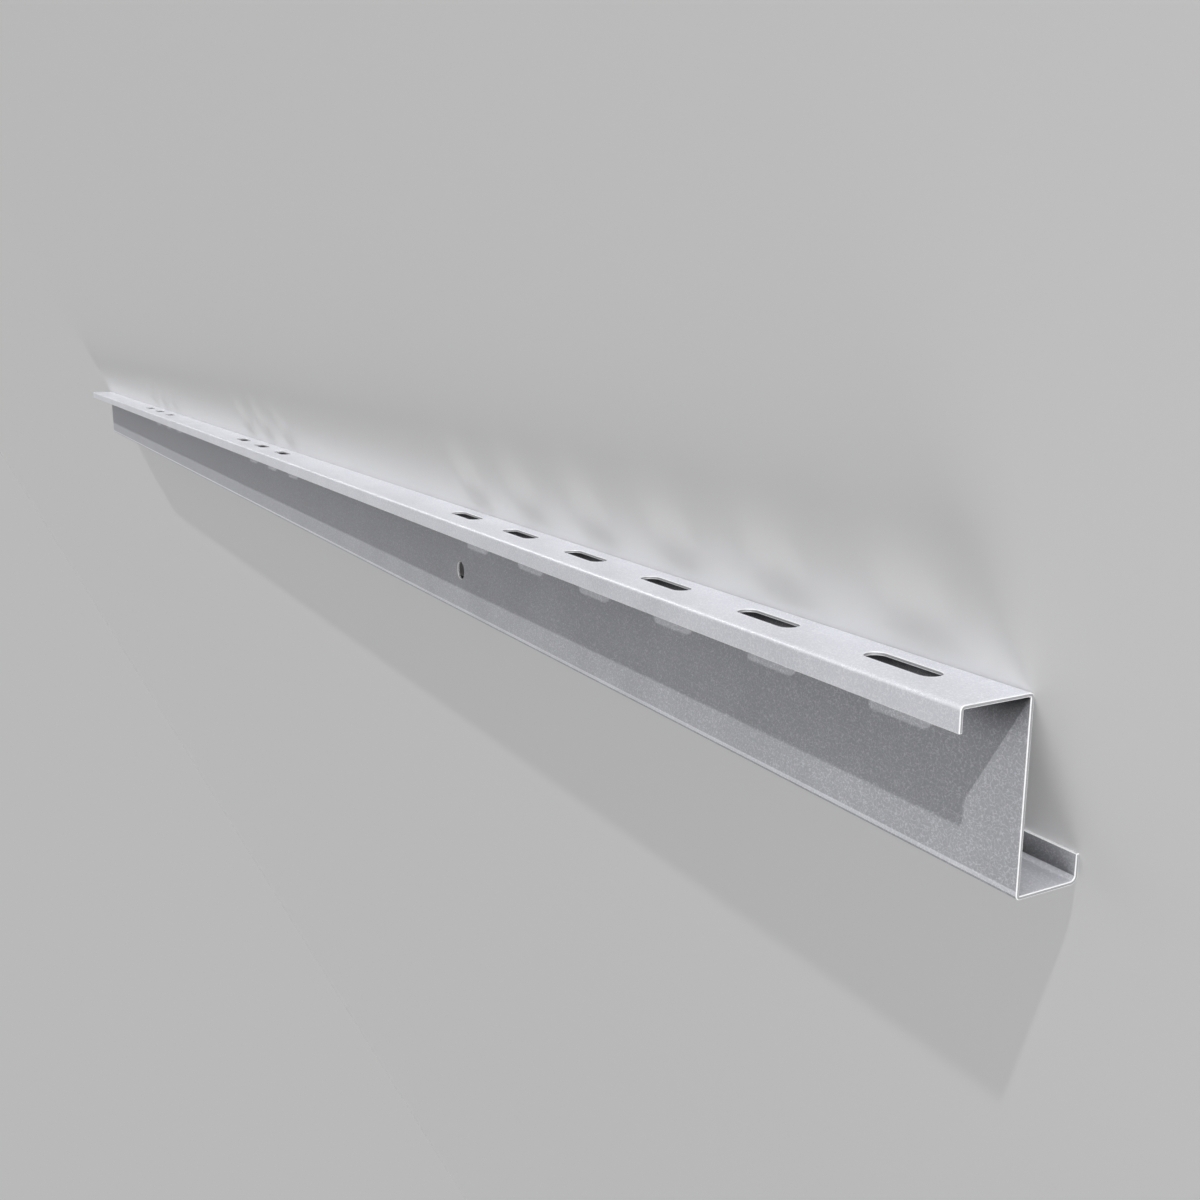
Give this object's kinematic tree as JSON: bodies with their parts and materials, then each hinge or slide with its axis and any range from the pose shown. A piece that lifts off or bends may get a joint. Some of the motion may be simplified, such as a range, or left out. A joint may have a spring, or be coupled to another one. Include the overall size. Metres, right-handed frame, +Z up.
{
  "type": "z-section rafter",
  "caption": "Cold-formed lipped Z-section steel rafter with groups of bolt slots along its top flange and a round hole in its web.",
  "frame": {"origin": "on the floor, at the middle of the length and of the width of the rafter as it lies", "axes": "+X along the rafter, from the near end in the picture to the far end; +Y from the top flange to the bottom flange; +Z up, with the rafter lying on its back: on the bend at the web's top and on the edge of the bottom lip"},
  "size_m": [3, 0.1228, 0.0446],
  "materials": {
    "zinc_coated_steel": "matte zinc-coated, pale silver grey"
  },
  "bodies": {
    "root": {"rafter": "zinc_coated_steel"}
  },
  "joints": []
}
